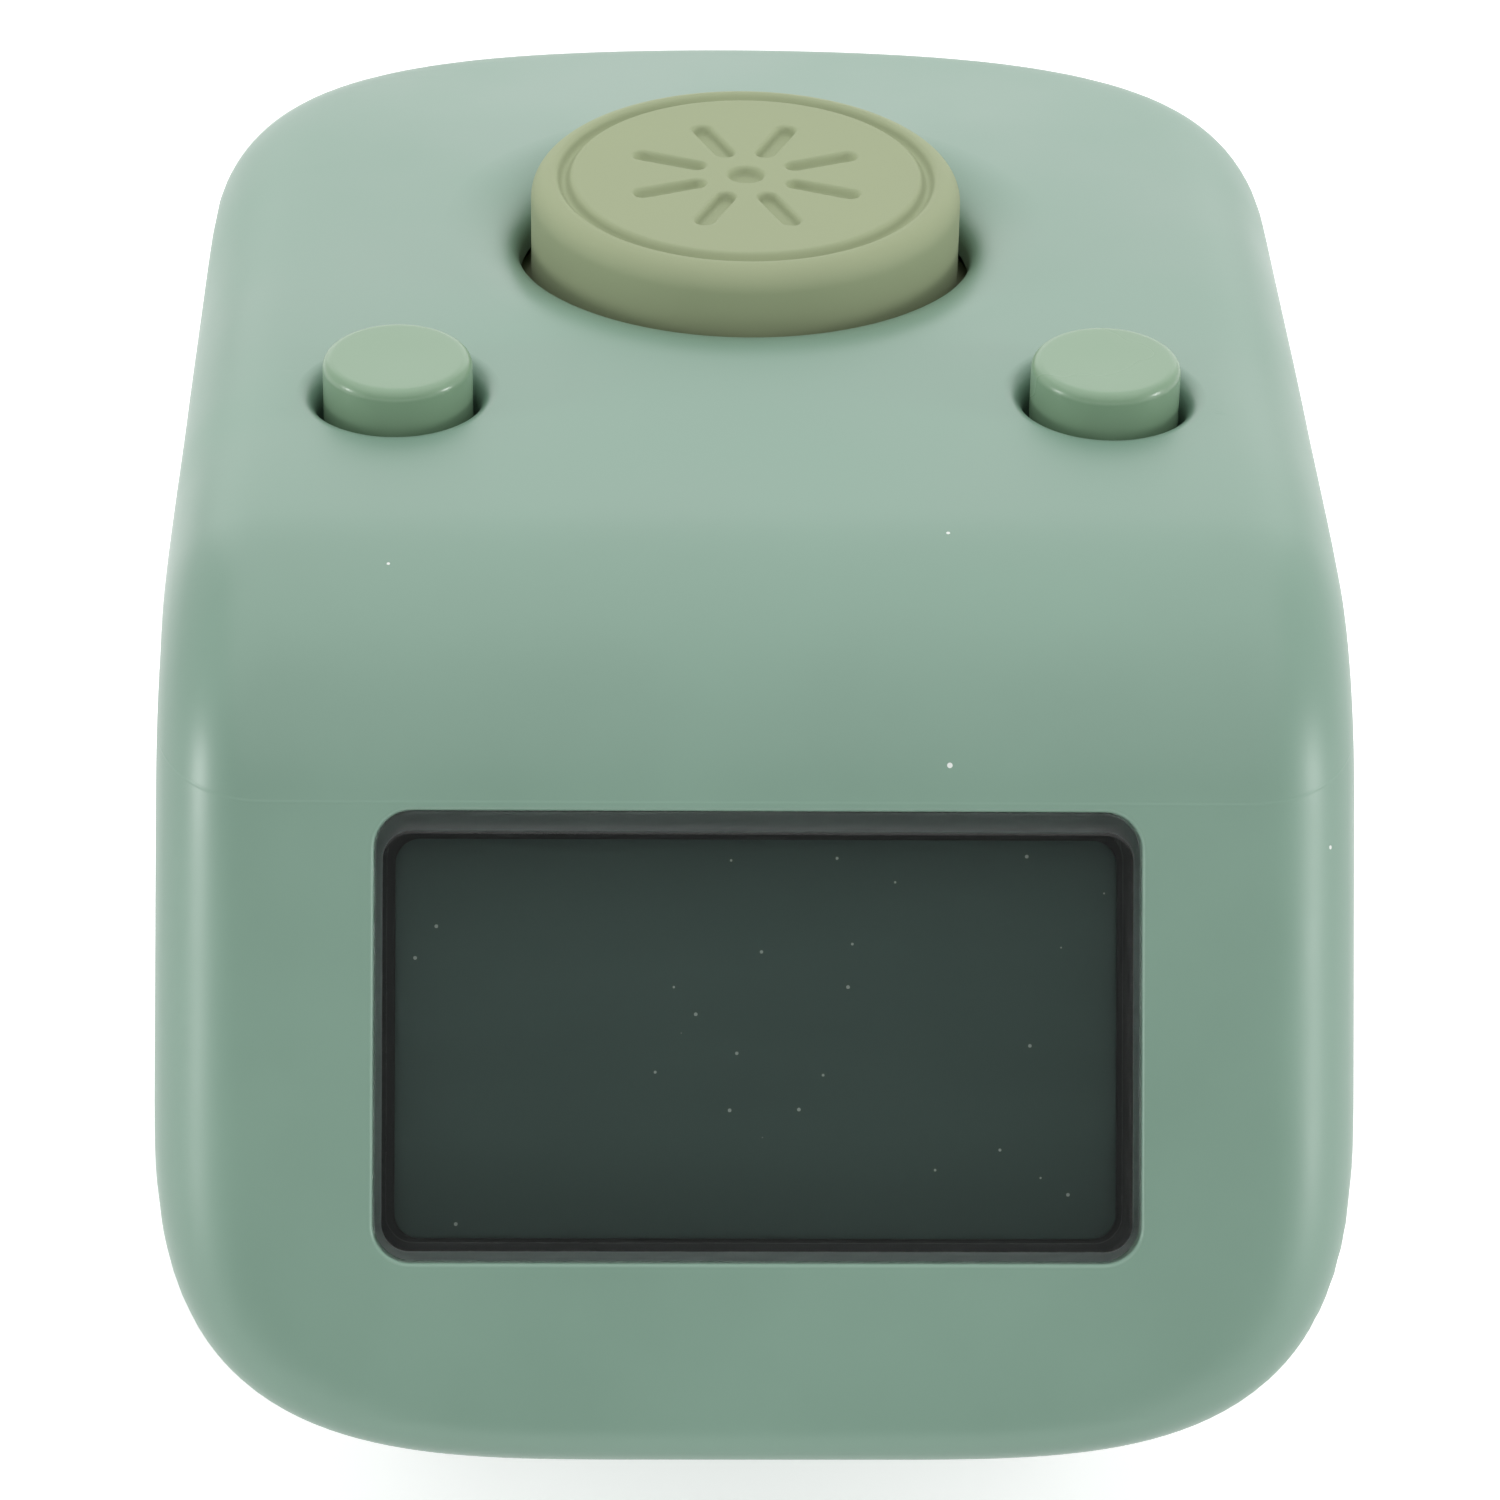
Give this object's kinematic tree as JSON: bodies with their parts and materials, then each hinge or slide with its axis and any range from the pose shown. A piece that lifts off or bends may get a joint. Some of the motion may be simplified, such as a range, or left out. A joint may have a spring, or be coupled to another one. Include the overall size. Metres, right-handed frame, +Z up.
{
  "type": "digital finger counter",
  "caption": "Small battery tally counter worn on a finger: display in a leaning face, one large count button, two small buttons and a soft finger loop.",
  "frame": {"origin": "on the floor under the flat bottom of the finger loop, at the middle of the footprint", "axes": "+Z up through the count button, +Y from the display to the rear, +X to the right seen from the display"},
  "size_m": [0.027, 0.0434, 0.0319],
  "materials": {
    "case_plastic": "moulded, fine satin grain",
    "cover_plastic": "moulded, fine satin grain",
    "screw_steel": "zinc plated",
    "clear_lens": "clear, polished",
    "gasket_foam": "foam, matt",
    "display_glass": "polarising film over glass",
    "white_plastic": "moulded",
    "black_plastic": "moulded",
    "zebra_rubber": "striped elastomer",
    "circuit_board": "solder mask",
    "chip_epoxy": "resin blob",
    "ribbon_film": "polyimide film",
    "can_steel": "nickel plated",
    "capacitor_ceramic": "ceramic with tinned ends",
    "count_button_rubber": "matt silicone",
    "small_button_plastic": "semi-gloss",
    "contact_brass": "plated spring sheet",
    "band_silicone": "matt silicone"
  },
  "bodies": {
    "case": {"upper_case": "case_plastic", "lower_case": "cover_plastic", "battery_door": "cover_plastic", "battery_door_screw": "screw_steel", "case_screw_1": "screw_steel", "case_screw_2": "screw_steel", "case_screw_3": "screw_steel", "case_screw_4": "screw_steel", "window_lens": "clear_lens", "lens_gasket": "gasket_foam", "lcd_glass": "display_glass", "lcd_diffuser": "white_plastic", "backlight_led_left": "white_plastic", "backlight_led_right": "white_plastic", "display_frame": "black_plastic", "zebra_strip": "zebra_rubber", "display_board": "circuit_board", "controller_chip": "chip_epoxy", "ribbon_cable": "ribbon_film", "main_board": "circuit_board", "board_screw_1": "screw_steel", "board_screw_2": "screw_steel", "board_screw_3": "screw_steel", "crystal": "can_steel", "capacitor_1": "capacitor_ceramic", "capacitor_2": "capacitor_ceramic", "count_switch": "black_plastic", "reset_switch": "black_plastic", "light_switch": "black_plastic", "battery_cell": "can_steel", "battery_contact_negative": "contact_brass", "battery_contact_positive": "contact_brass", "finger_band": "band_silicone"},
    "count_button": {"count_button": "count_button_rubber", "count_plunger": "white_plastic"},
    "reset_button": {"reset_button": "small_button_plastic", "reset_plunger": "white_plastic"},
    "light_button": {"light_button": "small_button_plastic", "light_plunger": "white_plastic"}
  },
  "joints": [
    {"name": "count_press", "type": "slide", "parent": "case", "child": "count_button", "axis": [0, 0, -1], "range_m": [0, 0.0008], "stiffness_N_per_m": 300},
    {"name": "reset_press", "type": "slide", "parent": "case", "child": "reset_button", "axis": [0, 0, -1], "range_m": [0, 0.0006], "stiffness_N_per_m": 300},
    {"name": "light_press", "type": "slide", "parent": "case", "child": "light_button", "axis": [0, 0, -1], "range_m": [0, 0.0006], "stiffness_N_per_m": 300}
  ]
}
